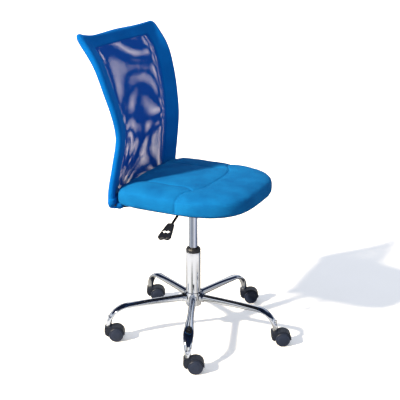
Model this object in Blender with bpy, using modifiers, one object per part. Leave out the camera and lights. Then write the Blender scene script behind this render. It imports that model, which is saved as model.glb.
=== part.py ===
"""Compact swivel desk chair: five-arm base on twin-wheel casters, gas lift, padded seat, mesh back.

Metres, +Z up. The floor is z = 0, the sitter faces -Y and has their left hand at +X. The origin is
the middle of the bounding box on the floor, so the column axis stands at (COLUMN_X, COLUMN_Y).
Shapes are written from the column axis, and the empty "chair" carries them all to their place.
"""

from math import cos, hypot, pi, radians, sin

import bmesh
import bpy
from mathutils import Matrix, Vector

GAP = 0.0003  # between faces that touch
RUNNING = 0.0004  # radial clearance of what turns or slides
ROUND_STEPS = 24  # segments of a large turned part
SMALL_STEPS = 12  # segments of a small turned part

# Base
COLUMN_X = -0.0142
COLUMN_Y = 0.0243
ARM_COUNT = 5
FIRST_ARM = radians(-85.0)  # the front arm, five degrees to the sitter's left of straight ahead
CASTER_CIRCLE = 0.275  # column axis to caster stem
WHEEL_RADIUS = 0.023
ARM_TIP_Z = 2 * WHEEL_RADIUS + 0.0045
ARM_ROOT_Z = ARM_TIP_Z + 0.0685
ARM_DROP = 0.007  # how far the arm sinks before it bends down
BEND_REACH = 0.066  # how much of the arm's reach bends down
ARM_SIDES = 12
ARM_SECTIONS = (  # share of the arm's length, half-width, half-height
    (0.00, 0.0110, 0.0120),
    (0.40, 0.0112, 0.0106),
    (0.62, 0.0142, 0.0088),
    (0.76, 0.0165, 0.0072),
    (0.88, 0.0135, 0.0074),
    (1.00, 0.0088, 0.0088),
)
HUB_RADIUS = 0.0254
HUB_WALL = 0.0017
HUB_BOTTOM, HUB_TOP = ARM_ROOT_Z - 0.027, ARM_ROOT_Z + 0.019
HUB_EDGE = 0.0011  # rounding of the hub's outer edges
COLLAR_REACH = 0.011  # how far the hub's collars stand out over the arm roots
COLLAR_WALL = 0.0026
HUB_STEPS = 32

# Column and gas lift
TUBE_WALL = 0.002
TUBE_TOP = HUB_TOP + 0.1357
TUBE_FLOOR = 0.0035
BUSH_TOP = TUBE_TOP + 0.0148
BUSH_DEPTH = 0.038
ROD_RADIUS = 0.005
ROD_STEPS = 20
PISTON_Z, PISTON_HEIGHT = TUBE_TOP - 0.0407, 0.008
SHOULDER_RADIUS, SHOULDER_HEIGHT = 0.009, 0.003
BEARING_RADIUS, BEARING_HEIGHT = 0.011, 0.0034
CLIP_RADIUS, CLIP_HEIGHT = 0.010, 0.003
ROD_TAIL = 0.006  # rod left below the clip
CYLINDER_RADIUS = 0.014
CYLINDER_BOTTOM = PISTON_Z - 0.018
CYLINDER_WALL = 0.0019
CYLINDER_EDGE = 0.0008
PISTON_RADIUS = CYLINDER_RADIUS - CYLINDER_WALL - RUNNING
CYLINDER_END = 0.004
HEAD_END = 0.0085  # the cylinder's solid head
PIN_RADIUS, PIN_DEPTH, PIN_RISE = 0.003, 0.0145, 0.005

# Seat
BOARD_Z = HUB_TOP + 0.328  # underside of the seat board
BOARD_THICKNESS = 0.010
BOARD_INSET = 0.010
SEAT_HALF_WIDTH = 0.2105
SEAT_FRONT, SEAT_REAR = 0.227, 0.177  # reach from the column axis
FRONT_CORNERS, REAR_CORNERS = 3.1, 5.0  # superellipse exponents
CUSHION_SIDE_TOP = BOARD_Z + 0.0415
CUSHION_CROWN = CUSHION_SIDE_TOP + 0.016
SEAT_POINTS = 44
PLATE_X, PLATE_Y, PLATE_THICKNESS = 0.150, 0.176, 0.003
PLATE_CORNER = 0.014
PLATE_BOLT_X, PLATE_BOLT_Y = 0.056, 0.070
SOCKET_BOTTOM_RADIUS, SOCKET_TOP_RADIUS = 0.0175, 0.0205
SOCKET_DEPTH = 0.044
SOCKET_RIM = 0.004
SOCKET_OVER = 0.0187  # the socket goes on above the cylinder's head, for the lever
BOLT_RADIUS, BOLT_HEAD_RADIUS, BOLT_HEAD = 0.003, 0.0055, 0.004
BOLT_GRIP = 0.0075  # bolt length inside the board

# Height lever
LEVER_RADIUS = 0.004
LEVER_PIVOT_X = -0.027
LEVER_TIP_X = 0.003
PIN_AIR = 0.0006  # rest clearance between the lever and the release pin
LEVER_DROOP_X, LEVER_DROOP_Z = -0.141, BOARD_Z - 0.0542  # where the rod enters the grip
GRIP_LENGTH = 0.062
GRIP_DROOP = radians(31.5)
GRIP_ROLL = radians(10)
GRIP_ROOT, GRIP_END = 0.024, 0.044
GRIP_THICKNESS = 0.009
GRIP_NOTCH = 0.004
ROD_IN_GRIP = 0.016
BRACKET_CHEEK, BRACKET_LENGTH, BRACKET_DEPTH = 0.002, 0.014, 0.017
BRACKET_AIR = 0.0012  # between the lever and the bracket's roof
PIVOT_RADIUS, PIVOT_HEAD = 0.0015, 0.0008
LEVER_STRAIGHT = 0.014  # rod before its first bend, from the pivot
LEVER_BENDS = (0.012, 0.008)
GRIP_EDGE = 0.0022

# Back
FRAME_RADIUS = 0.008
BACK_STATIONS = tuple(  # height, set-back behind the column axis, half-width between tube centres
    (BOARD_Z + rise, SEAT_REAR + behind, SEAT_HALF_WIDTH + beyond)
    for rise, behind, beyond in (
        (-0.016, -0.0030, -0.0160),
        (0.034, -0.0025, -0.0160),
        (0.114, -0.0145, -0.0235),
        (0.194, -0.0245, -0.0313),
        (0.254, -0.0185, -0.0260),
        (0.334, 0.0010, -0.0120),
        (0.414, 0.0295, -0.0045),
        (0.489, 0.0830, -0.0055),
    )
)
BACK_SAG = 0.012  # how far the middle of the back lies behind its sides
BACK_TOP = BOARD_Z + 0.4795  # height of the top bar's centre
TOP_CORNER = 0.020
TOP_DIP = 0.007  # how far the middle of the top bar sinks
LEG_X, LEG_FRONT, LEG_BEND = 0.098, 0.048, SEAT_REAR - 0.109
LEG_CORNER, LEG_RISE_CORNER = 0.030, 0.022
LEG_BOLTS = (-0.034, 0.046)
SIDE_START = 0.012  # where the uprights begin, above the band's lower end
BAND_SIDE, BAND_OVER = 0.052, 0.026  # tube centre to the band's inner edge, at a side and at the top
BAND_OUTSIDE = FRAME_RADIUS + 0.0022
BAND_HALF = FRAME_RADIUS + 0.0024  # half of the band's thickness over the tube
BAND_INNER_HALF = 0.0048
BAND_RECESS = 0.006  # the band's inner edge and the netting lie this far behind the tube
BAND_BOTTOM = BOARD_Z + 0.012
BAND_CORNER = 0.004
BAND_SLEEVE = 0.0006
MESH_GAP = 0.0015
MESH_THICKNESS = 0.0014
MESH_OFFSET = 0.0032  # each layer from the middle of the band's inner edge
MESH_COLUMNS, MESH_ROWS = 8, 13
CORNER_LEAD = 0.004  # straight stretch between a side and the top corner
SIDE_POINTS = 9

# Casters
WHEEL_WIDTH = 0.0128
WHEEL_FACE = 0.0030  # thickness of the wheel's outer face
WHEEL_EDGE = 0.0028
TRAIL = WHEEL_RADIUS
TRAIL_TURN = radians(-63.5)  # all five casters trail this way
WEB_HALF = 0.0062
HOOD_HALF = 0.0185
WHEEL_AIR = 0.0012
AXLE_RADIUS = 0.0025
STEM_RADIUS = 0.0048
STEM_LENGTH = 0.034
STEM_DEPTH = 0.013  # stem inside the hood
STEM_EDGE = 0.001
COLLAR_RADIUS, COLLAR_HEIGHT = 0.0086, 0.0018
HOOD_EDGE = 0.0028
BOSS_HALF = 0.0105
BOSS_Z = ARM_TIP_Z - COLLAR_HEIGHT - 2 * GAP  # top of the hood's boss

PLATE_Z = BOARD_Z - GAP - PLATE_THICKNESS
CYLINDER_TOP = PLATE_Z - SOCKET_OVER
LEG_Z = BOARD_Z - GAP - FRAME_RADIUS
TUBE_RADIUS = HUB_RADIUS - HUB_WALL - GAP
TUBE_BOTTOM = HUB_BOTTOM + GAP
SHOULDER_Z = TUBE_BOTTOM + TUBE_FLOOR + BEARING_HEIGHT + 2 * GAP
LEVER_Z = CYLINDER_TOP + PIN_RISE + PIN_AIR + LEVER_RADIUS
CUT_OVER = 0.01  # how far cutting bodies run past what they cut


# ---------------------------------------------------------------- scene and helpers

for old in list(bpy.data.objects):
    bpy.data.objects.remove(old, do_unlink=True)

parts = bpy.data.collections.new("swivel_chair")
cutters = bpy.data.collections.new("cutters")
for group in (parts, cutters):
    bpy.context.scene.collection.children.link(group)


def material(name, colour, roughness, metallic=0.0):
    made = bpy.data.materials.new(name)
    made.use_nodes = True
    shader = made.node_tree.nodes["Principled BSDF"]
    shader.inputs["Base Color"].default_value = (*colour, 1.0)
    shader.inputs["Roughness"].default_value = roughness
    shader.inputs["Metallic"].default_value = metallic
    return made


CHROME = material("chrome", (0.78, 0.79, 0.81), 0.08, 1.0)
STEEL = material("zinc_steel", (0.46, 0.47, 0.49), 0.35, 1.0)
PAINTED = material("black_steel", (0.018, 0.019, 0.022), 0.4, 0.0)
PLASTIC = material("navy_grey_plastic", (0.045, 0.055, 0.095), 0.42)
DARK_PLASTIC = material("dark_plastic", (0.022, 0.026, 0.045), 0.5)
WOOD = material("plywood", (0.42, 0.29, 0.17), 0.7)
FABRIC = material("blue_fabric", (0.006, 0.175, 0.50), 0.9)
BAND = material("blue_band", (0.002, 0.135, 0.42), 0.9)
NETTING = material("blue_netting", (0.01, 0.08, 0.33), 0.85)


def empty(name, parent=None, place=(0.0, 0.0, 0.0)):
    made = bpy.data.objects.new(name, None)
    made.location = place
    made.parent = parent
    parts.objects.link(made)
    return made


def add(name, mesh, look, parent, place=(0.0, 0.0, 0.0), turn=(0.0, 0.0, 0.0)):
    """Puts a mesh in the scene under its parent empty."""
    made = bpy.data.objects.new(name, mesh)
    made.location = place
    made.rotation_euler = turn
    if look is None:
        cutters.objects.link(made)
        made.hide_render = True
        made.display_type = "WIRE"
    else:
        parts.objects.link(made)
        mesh.materials.append(look)
    made.parent = parent
    return made


def mesh_of(bm, name):
    bmesh.ops.recalc_face_normals(bm, faces=bm.faces)
    mesh = bpy.data.meshes.new(name)
    bm.to_mesh(mesh)
    bm.free()
    mesh.shade_smooth()
    mesh.set_sharp_from_angle(angle=radians(35))
    return mesh


def turned(name, profile, look, parent, place=(0.0, 0.0, 0.0), turn=(0.0, 0.0, 0.0), closed=False,
           steps=ROUND_STEPS):
    """A (radius, height) profile turned about Z. It runs down its outer side, top to bottom."""
    mesh = bpy.data.meshes.new(name)
    edges = [(i, i + 1) for i in range(len(profile) - 1)]
    if closed:
        edges.append((len(profile) - 1, 0))
    mesh.from_pydata([(radius, 0.0, height) for radius, height in profile], edges, [])
    made = add(name, mesh, look, parent, place, turn)
    screw = made.modifiers.new("turn", "SCREW")
    screw.axis = "Z"
    screw.angle = 2 * pi
    screw.steps = screw.render_steps = steps
    screw.use_merge_vertices = True
    screw.merge_threshold = 0.00001
    return made


def cylinder_mesh(name, radius, bottom, top, steps=SMALL_STEPS, spots=((0.0, 0.0),)):
    """Upright cylinders between two heights, one at each (x, y) spot."""
    bm = bmesh.new()
    for x, y in spots:
        middle = Matrix.Translation((x, y, (bottom + top) / 2))
        bmesh.ops.create_cone(bm, cap_ends=True, segments=steps, radius1=radius, radius2=radius,
                              depth=top - bottom, matrix=middle)
    return mesh_of(bm, name)


def box_mesh(name, low, high):
    bm = bmesh.new()
    size = [high[i] - low[i] for i in range(3)]
    middle = [(high[i] + low[i]) / 2 for i in range(3)]
    bmesh.ops.create_cube(bm, size=1.0, matrix=Matrix.Translation(middle) @ Matrix.Diagonal((*size, 1.0)))
    return mesh_of(bm, name)


def loft(bm, rings):
    """Joins rings of points into one closed skin with flat ends."""
    rows = [[bm.verts.new(point) for point in ring] for ring in rings]
    count = len(rows[0])
    for low, high in zip(rows, rows[1:]):
        for i in range(count):
            j = (i + 1) % count
            bm.faces.new((low[i], low[j], high[j], high[i]))
    bm.faces.new(rows[0])
    bm.faces.new(rows[-1])


def boolean(made, other, operation="DIFFERENCE"):
    step = made.modifiers.new(operation.lower(), "BOOLEAN")
    step.operation = operation
    step.object = other
    step.solver = "EXACT"


def bevel(made, width, segments=2, angle=radians(40)):
    step = made.modifiers.new("edges", "BEVEL")
    step.width = width
    step.segments = segments
    step.limit_method = "ANGLE"
    step.angle_limit = angle


def rounded(points, radii, steps=5):
    """A polyline whose corners are rounded, each over its own radius; 0 leaves the corner."""
    path = [Vector(points[0])]
    for before, corner, after, radius in zip(points, points[1:], points[2:], radii[1:]):
        corner, before, after = Vector(corner), Vector(before), Vector(after)
        if not radius:
            path.append(corner)
            continue
        start = corner + (before - corner).normalized() * radius
        end = corner + (after - corner).normalized() * radius
        for step in range(steps + 1):
            share = step / steps
            path.append(start.lerp(corner, share).lerp(corner.lerp(end, share), share))
    path.append(Vector(points[-1]))
    return path


def tube_mesh(name, path, radius, resolution=2):
    """A bent round bar as a mesh, from a bevelled curve with welded caps."""
    curve = bpy.data.curves.new(name, "CURVE")
    curve.dimensions = "3D"
    curve.bevel_depth = radius
    curve.bevel_resolution = resolution
    curve.use_fill_caps = True
    spline = curve.splines.new("POLY")
    spline.points.add(len(path) - 1)
    for spot, point in zip(spline.points, path):
        spot.co = (*point, 1.0)
    guide = bpy.data.objects.new(name, curve)
    cutters.objects.link(guide)
    graph = bpy.context.evaluated_depsgraph_get()
    mesh = bpy.data.meshes.new_from_object(guide.evaluated_get(graph))
    bpy.data.objects.remove(guide, do_unlink=True)
    bm = bmesh.new()
    bm.from_mesh(mesh)
    bmesh.ops.remove_doubles(bm, verts=bm.verts, dist=0.00001)
    bpy.data.meshes.remove(mesh)
    return mesh_of(bm, name)


def between(stations, at):
    """Smooth values at a place along stations (place, value, value, ...)."""
    last = len(stations) - 1
    i = next((n for n in range(last) if at <= stations[n + 1][0]), last - 1)
    one, two = stations[i], stations[i + 1]
    before, after = stations[max(i - 1, 0)], stations[min(i + 2, last)]
    span = two[0] - one[0]
    share = (at - one[0]) / span
    values = []
    for k in range(1, len(one)):
        start = (two[k] - before[k]) / (two[0] - before[0]) * span
        end = (after[k] - one[k]) / (after[0] - one[0]) * span
        values.append(
            (2 * share**3 - 3 * share**2 + 1) * one[k] + (share**3 - 2 * share**2 + share) * start
            + (3 * share**2 - 2 * share**3) * two[k] + (share**3 - share**2) * end
        )
    return values


def superellipse(half_x, front, rear, points):
    """A plan outline whose front (-Y) and rear halves have their own reach and corners."""
    outline = []
    for step in range(points):
        angle = 2 * pi * (step + 0.5) / points
        c, s = cos(angle), sin(angle)
        reach, power = (front, FRONT_CORNERS) if s < 0 else (rear, REAR_CORNERS)
        outline.append((
            half_x * abs(c) ** (2 / power) * (1 if c > 0 else -1),
            reach * abs(s) ** (2 / power) * (1 if s > 0 else -1),
        ))
    return outline


chair = empty("chair", place=(COLUMN_X, COLUMN_Y, 0.0))
swivel = empty("seat_swivel", chair)
lift = empty("height_slide", swivel)


# ---------------------------------------------------------------- base

def arm_path():
    """Centre line of an arm as (reach, height): level in its collar, a slight fall, then a bend."""
    bend_start = CASTER_CIRCLE - BEND_REACH
    bend_top = ARM_ROOT_Z - ARM_DROP
    fall_start = HUB_RADIUS + COLLAR_REACH + GAP
    path = [(HUB_RADIUS + GAP, ARM_ROOT_Z)]
    for i in range(5):
        share = i / 5
        path.append((fall_start + (bend_start - fall_start) * share, ARM_ROOT_Z - ARM_DROP * share))
    for i in range(8):
        angle = pi / 2 * i / 7
        fall = (bend_top - ARM_TIP_Z) * (1 - cos(angle))
        path.append((bend_start + BEND_REACH * sin(angle), bend_top - fall))
    return path


def arm_rings(spare=0.0):
    """Oval sections along the arm, each square to its centre line."""
    path = arm_path()
    steps = [hypot(b[0] - a[0], b[1] - a[1]) for a, b in zip(path, path[1:])]
    rings, run = [], 0.0
    for i, (reach, height) in enumerate(path):
        ahead = path[min(i + 1, len(path) - 1)]
        behind = path[max(i - 1, 0)]
        along = Vector((ahead[0] - behind[0], 0.0, ahead[1] - behind[1])).normalized()
        if i == len(path) - 1:
            along = Vector((0.0, 0.0, -1.0))
        if i == 0:
            along = Vector((1.0, 0.0, 0.0))
        up = along.cross(Vector((0.0, -1.0, 0.0)))
        half_width, half_height = between(ARM_SECTIONS, run / sum(steps))
        ring = []
        for k in range(ARM_SIDES):
            angle = 2 * pi * k / ARM_SIDES
            side = Vector((0.0, 1.0, 0.0)) * cos(angle) * (half_width + spare)
            ring.append(Vector((reach, 0.0, height)) + side + up * sin(angle) * (half_height + spare))
        rings.append(ring)
        if i < len(steps):
            run += steps[i]
    return rings


def arm_angles():
    return [FIRST_ARM - 2 * pi * i / ARM_COUNT for i in range(ARM_COUNT)]


def root_sleeves(name, spare, start, end):
    """Straight oval prisms over all arm roots, wider than the arm by spare."""
    whole = bmesh.new()
    for angle in arm_angles():
        root = arm_rings(spare)[0]
        turn = Matrix.Rotation(angle, 3, "Z")
        rings = [[turn @ Vector((reach, p.y, p.z)) for p in root] for reach in (start, end)]
        loft(whole, rings)
    return mesh_of(whole, name)


def build_base():
    inner = HUB_RADIUS - HUB_WALL
    hub = turned("hub", [
        (HUB_RADIUS - HUB_EDGE, HUB_TOP), (HUB_RADIUS, HUB_TOP - HUB_EDGE),
        (HUB_RADIUS, HUB_BOTTOM + HUB_EDGE), (HUB_RADIUS - HUB_EDGE, HUB_BOTTOM),
        (inner, HUB_BOTTOM), (inner, HUB_TOP),
    ], CHROME, chair, closed=True, steps=HUB_STEPS)
    reach = HUB_RADIUS + COLLAR_REACH
    collars = add("cut_collars", root_sleeves("collars", COLLAR_WALL, HUB_RADIUS - HUB_WALL / 2, reach),
                  None, chair)
    roots = add("cut_roots", root_sleeves("roots", GAP, HUB_RADIUS, reach + CUT_OVER), None, chair)
    boolean(hub, collars, "UNION")
    boolean(hub, roots)
    stem_top = ARM_TIP_Z + STEM_LENGTH
    for number, angle in enumerate(arm_angles(), 1):
        bm = bmesh.new()
        loft(bm, arm_rings())
        arm = add(f"arm_{number}", mesh_of(bm, "arm"), CHROME, chair, turn=(0, 0, angle))
        bore = add(f"cut_bore_{number}",
                   cylinder_mesh("bore", STEM_RADIUS + GAP, ARM_TIP_Z - CUT_OVER, stem_top + GAP),
                   None, arm, (CASTER_CIRCLE, 0.0, 0.0))
        boolean(arm, bore)


def build_column():
    bore = TUBE_RADIUS - TUBE_WALL
    hole = ROD_RADIUS + 2 * RUNNING
    turned("column_tube", [
        (TUBE_RADIUS, TUBE_TOP), (TUBE_RADIUS, TUBE_BOTTOM), (hole, TUBE_BOTTOM),
        (hole, TUBE_BOTTOM + TUBE_FLOOR), (bore, TUBE_BOTTOM + TUBE_FLOOR), (bore, TUBE_TOP),
    ], CHROME, chair, closed=True, steps=HUB_STEPS)
    guide, lip = CYLINDER_RADIUS + RUNNING, TUBE_TOP + GAP
    plug = bore - GAP
    height = BUSH_TOP - lip
    collar = TUBE_RADIUS - guide
    foot = TUBE_TOP - BUSH_DEPTH
    turned("guide_bush", [
        (guide, BUSH_TOP - 0.30 * height), (guide + 0.21 * collar, BUSH_TOP - 0.06 * height),
        (guide + 0.48 * collar, BUSH_TOP), (guide + 0.76 * collar, BUSH_TOP - 0.14 * height),
        (guide + 0.97 * collar, BUSH_TOP - 0.42 * height), (guide + 0.99 * collar, BUSH_TOP - 0.66 * height),
        (guide + 0.88 * collar, lip), (plug, lip), (plug, foot), (guide, foot),
    ], DARK_PLASTIC, chair, closed=True)


# ---------------------------------------------------------------- gas lift

def build_spindle():
    """The piston rod stands on its bearing in the column, and the seat swivels with it."""
    tail = TUBE_BOTTOM - GAP - CLIP_HEIGHT - ROD_TAIL
    crown, shoulder = PISTON_Z + PISTON_HEIGHT, SHOULDER_Z + SHOULDER_HEIGHT
    turned("piston_rod", [
        (0.0, crown), (PISTON_RADIUS, crown), (PISTON_RADIUS, PISTON_Z), (ROD_RADIUS, PISTON_Z),
        (ROD_RADIUS, shoulder), (SHOULDER_RADIUS, shoulder), (SHOULDER_RADIUS, SHOULDER_Z),
        (ROD_RADIUS, SHOULDER_Z), (ROD_RADIUS, tail), (0.0, tail),
    ], STEEL, swivel, steps=ROD_STEPS)
    ring = ROD_RADIUS + GAP
    for name, low, high, radius in (
        ("thrust_bearing", TUBE_BOTTOM + TUBE_FLOOR + GAP, SHOULDER_Z - GAP, BEARING_RADIUS),
        ("retaining_clip", TUBE_BOTTOM - GAP - CLIP_HEIGHT, TUBE_BOTTOM - GAP, CLIP_RADIUS),
    ):
        turned(name, [(radius, high), (radius, low), (ring, low), (ring, high)], STEEL, swivel,
               closed=True, steps=ROD_STEPS)


def build_cylinder():
    bore = CYLINDER_RADIUS - CYLINDER_WALL
    seal = ROD_RADIUS + RUNNING
    floor, ceiling = CYLINDER_BOTTOM + CYLINDER_END, CYLINDER_TOP - HEAD_END
    pin_hole = PIN_RADIUS + RUNNING
    turned("gas_cylinder", [
        (CYLINDER_RADIUS - CYLINDER_EDGE, CYLINDER_TOP), (CYLINDER_RADIUS, CYLINDER_TOP - CYLINDER_EDGE),
        (CYLINDER_RADIUS, CYLINDER_BOTTOM), (seal, CYLINDER_BOTTOM), (seal, floor), (bore, floor),
        (bore, ceiling), (pin_hole, ceiling), (pin_hole, CYLINDER_TOP),
    ], CHROME, lift, closed=True)
    pin = empty("pin_slide", lift)
    add("release_pin",
        cylinder_mesh("pin", PIN_RADIUS, CYLINDER_TOP - PIN_DEPTH, CYLINDER_TOP + PIN_RISE),
        STEEL, pin)


# ---------------------------------------------------------------- seat

def bolt(name, x, y, head_z, top):
    """A hexagon-headed bolt, its head's upper face at head_z."""
    bm = bmesh.new()
    middle = head_z - BOLT_HEAD / 2
    bmesh.ops.create_cone(bm, cap_ends=True, segments=6, radius1=BOLT_HEAD_RADIUS,
                          radius2=BOLT_HEAD_RADIUS, depth=BOLT_HEAD,
                          matrix=Matrix.Translation((x, y, middle)))
    made = add(name, mesh_of(bm, name), STEEL, lift)
    shank = cylinder_mesh("shank", BOLT_RADIUS, middle, top, spots=((x, y),))
    boolean(made, add(f"cut_{name}", shank, None, lift), "UNION")


def plate_bolt_spots():
    return [(x, y) for x in (-PLATE_BOLT_X, PLATE_BOLT_X) for y in (-PLATE_BOLT_Y, PLATE_BOLT_Y)]


def leg_bolt_spots():
    return [(x, y) for x in (-LEG_X, LEG_X) for y in LEG_BOLTS]


def build_plate():
    low = (-PLATE_X / 2, -PLATE_Y / 2, PLATE_Z)
    high = (PLATE_X / 2, PLATE_Y / 2, PLATE_Z + PLATE_THICKNESS)
    bm = bmesh.new()
    bm.from_mesh(box_mesh("plate", low, high))
    upright = [e for e in bm.edges if abs(e.verts[0].co.z - e.verts[1].co.z) > PLATE_THICKNESS / 2]
    bmesh.ops.bevel(bm, geom=upright, offset=PLATE_CORNER, segments=4, affect="EDGES", profile=0.5)
    plate = add("mounting_plate", mesh_of(bm, "mounting_plate"), PAINTED, lift)
    holes = cylinder_mesh("plate_holes", BOLT_RADIUS + GAP, PLATE_Z - CUT_OVER, PLATE_Z + CUT_OVER,
                          spots=plate_bolt_spots())
    boolean(plate, add("cut_plate_holes", holes, None, lift))
    socket_top = PLATE_Z - GAP
    bore = CYLINDER_RADIUS + GAP
    socket = turned("column_socket", [
        (SOCKET_TOP_RADIUS, socket_top), (SOCKET_TOP_RADIUS, socket_top - SOCKET_RIM),
        (SOCKET_BOTTOM_RADIUS, socket_top - SOCKET_DEPTH), (bore, socket_top - SOCKET_DEPTH),
        (bore, socket_top),
    ], PAINTED, lift, closed=True)
    side = LEVER_RADIUS + 3 * GAP
    slot = box_mesh("slot", (-2 * SOCKET_TOP_RADIUS, -side, CYLINDER_TOP + GAP), (0.0, side, PLATE_Z))
    boolean(socket, add("cut_slot", slot, None, lift))
    for number, (x, y) in enumerate(plate_bolt_spots(), 1):
        bolt(f"plate_bolt_{number}", x, y, PLATE_Z - GAP, BOARD_Z + BOLT_GRIP)


def seat_outline(inset):
    return superellipse(SEAT_HALF_WIDTH - inset, SEAT_FRONT - inset, SEAT_REAR - inset, SEAT_POINTS)


def build_board():
    outline = seat_outline(BOARD_INSET)
    bm = bmesh.new()
    loft(bm, [[(x, y, z) for x, y in outline] for z in (BOARD_Z, BOARD_Z + BOARD_THICKNESS)])
    board = add("seat_board", mesh_of(bm, "seat_board"), WOOD, lift)
    holes = cylinder_mesh("board_holes", BOLT_RADIUS + GAP, BOARD_Z - CUT_OVER, BOARD_Z + BOLT_GRIP + GAP,
                          spots=plate_bolt_spots() + leg_bolt_spots())
    boolean(board, add("cut_board_holes", holes, None, lift))


def build_cushion():
    """Foam and cover as one plain solid, hollowed below to sit over the board's edge."""
    rise = CUSHION_SIDE_TOP - BOARD_Z
    crown = CUSHION_CROWN - CUSHION_SIDE_TOP
    layers = (  # inset, height
        (0.0055, BOARD_Z), (0.0015, BOARD_Z + 0.10 * rise), (0.0, BOARD_Z + 0.35 * rise),
        (0.0, BOARD_Z + 0.70 * rise), (0.0035, CUSHION_SIDE_TOP), (0.0130, CUSHION_SIDE_TOP + 0.40 * crown),
        (0.0400, CUSHION_SIDE_TOP + 0.72 * crown), (0.0900, CUSHION_CROWN),
    )
    rings = [[(x, y, z) for x, y in seat_outline(inset)] for inset, z in layers]
    bm = bmesh.new()
    loft(bm, rings)
    cushion = add("seat_cushion", mesh_of(bm, "seat_cushion"), FABRIC, lift)
    outline = seat_outline(BOARD_INSET - GAP)
    bm = bmesh.new()
    loft(bm, [[(x, y, z) for x, y in outline] for z in (BOARD_Z - CUT_OVER, BOARD_Z + BOARD_THICKNESS + GAP)])
    boolean(cushion, add("cut_recess", mesh_of(bm, "recess"), None, lift))


# ---------------------------------------------------------------- height lever

def build_lever():
    """The rod rocks on a cross pin, so lifting the grip pushes the release pin down."""
    lever = empty("lever_pivot_axis", lift, (LEVER_PIVOT_X, 0.0, LEVER_Z))
    here = Vector((LEVER_PIVOT_X, 0.0, LEVER_Z))
    along = Vector((-cos(GRIP_DROOP), 0.0, -sin(GRIP_DROOP)))
    mouth = Vector((LEVER_DROOP_X, 0.0, LEVER_DROOP_Z))
    points = [
        Vector((LEVER_TIP_X, 0.0, LEVER_Z)), Vector((LEVER_PIVOT_X - LEVER_STRAIGHT, 0.0, LEVER_Z)),
        mouth, mouth + along * ROD_IN_GRIP,
    ]
    path = [p - here for p in rounded(points, (0, *LEVER_BENDS, 0), 4)]
    rod = add("lever_rod", tube_mesh("lever_rod", path, LEVER_RADIUS), PAINTED, lever)
    across = cylinder_mesh("cross_hole", PIVOT_RADIUS + GAP, -CUT_OVER, CUT_OVER)
    boolean(rod, add("cut_cross_hole", across, None, lever, turn=(pi / 2, 0, 0)))

    half, tail = GRIP_THICKNESS / 2, GRIP_LENGTH
    outline = [
        (0.0, -0.33 * GRIP_ROOT), (0.06 * tail, -GRIP_ROOT / 2), (0.81 * tail, -GRIP_END / 2),
        (0.95 * tail, -0.34 * GRIP_END), (tail, -GRIP_END / 4), (tail - GRIP_NOTCH, 0.0),
    ]
    outline += [(x, -y) for x, y in reversed(outline[:-1])]
    bm = bmesh.new()
    loft(bm, [[(x, y, z) for x, y in outline] for z in (-half, half)])
    grip_place = mouth - here
    frame = Matrix.Translation(grip_place) @ Matrix.Rotation(pi - GRIP_DROOP, 4, "Y")
    frame = frame @ Matrix.Rotation(GRIP_ROLL, 4, "X")
    bmesh.ops.transform(bm, matrix=frame, verts=bm.verts)
    grip = add("lever_grip", mesh_of(bm, "lever_grip"), PLASTIC, lever)
    bevel(grip, GRIP_EDGE)
    bore = add("cut_grip_bore", tube_mesh("grip_bore", path, LEVER_RADIUS + GAP), None, lever)
    boolean(grip, bore)

    cheek = LEVER_RADIUS + 3 * GAP
    low = (LEVER_PIVOT_X - BRACKET_LENGTH / 2, 0.0, PLATE_Z - GAP - BRACKET_DEPTH)
    high = (LEVER_PIVOT_X + BRACKET_LENGTH / 2, 0.0, PLATE_Z - GAP)
    outer = cheek + BRACKET_CHEEK
    clear = SOCKET_TOP_RADIUS + GAP
    far = min(high[0], -clear)
    bracket = add("lever_bracket", box_mesh("lever_bracket", (low[0], -outer, low[2]), (far, outer, high[2])),
                  PAINTED, lift)
    channel = box_mesh("channel", (low[0] - CUT_OVER, -cheek, low[2] - CUT_OVER),
                       (far + CUT_OVER, cheek, LEVER_Z + LEVER_RADIUS + BRACKET_AIR))
    boolean(bracket, add("cut_bracket", channel, None, lift))
    hole = cylinder_mesh("pivot_hole", PIVOT_RADIUS + GAP, -CUT_OVER, CUT_OVER)
    boolean(bracket, add("cut_pivot_hole", hole, None, lift, here, (pi / 2, 0, 0)))
    pin = cylinder_mesh("lever_pivot", PIVOT_RADIUS, -outer - PIVOT_HEAD, outer + PIVOT_HEAD)
    add("lever_pivot", pin, STEEL, lift, here, (pi / 2, 0, 0))


# ---------------------------------------------------------------- back

def back_point(x, z, out=0.0):
    """A point of the back's middle surface, out metres in front of it (towards the sitter)."""
    def surface(px, pz):
        setback, half = between(BACK_STATIONS, pz)
        return Vector((px, setback + BACK_SAG * (1 - (px / half) ** 2), pz))

    step = 0.002
    middle = surface(x, z)
    if not out:
        return middle
    across = surface(x + step, z) - surface(x - step, z)
    upward = surface(x, z + step) - surface(x, z - step)
    return middle + across.cross(upward).normalized() * out


def side_line(inset, low, top, corner, dip):
    """Half of an upright loop, (x, z) from the bottom up to the middle of the top."""
    points = []
    for i in range(SIDE_POINTS):
        z = low + (top - corner - CORNER_LEAD - low) * i / (SIDE_POINTS - 1)
        points.append((between(BACK_STATIONS, z)[1] - inset, z, 0.0))
    points.append((between(BACK_STATIONS, top)[1] - inset, top, 0.0))
    width = points[-1][0]
    points += [(width * share, top - dip * (1 - share**2), 0.0) for share in (0.66, 0.33, 0.0)]
    radii = [0] * SIDE_POINTS + [corner, 0, 0, 0]
    return [(p.x, p.y) for p in rounded(points, radii)]


def mirrored(half):
    """The whole loop from its right half, whose last point is on the middle plane."""
    return half + [(-x, z) for x, z in reversed(half[:-1])]


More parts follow.
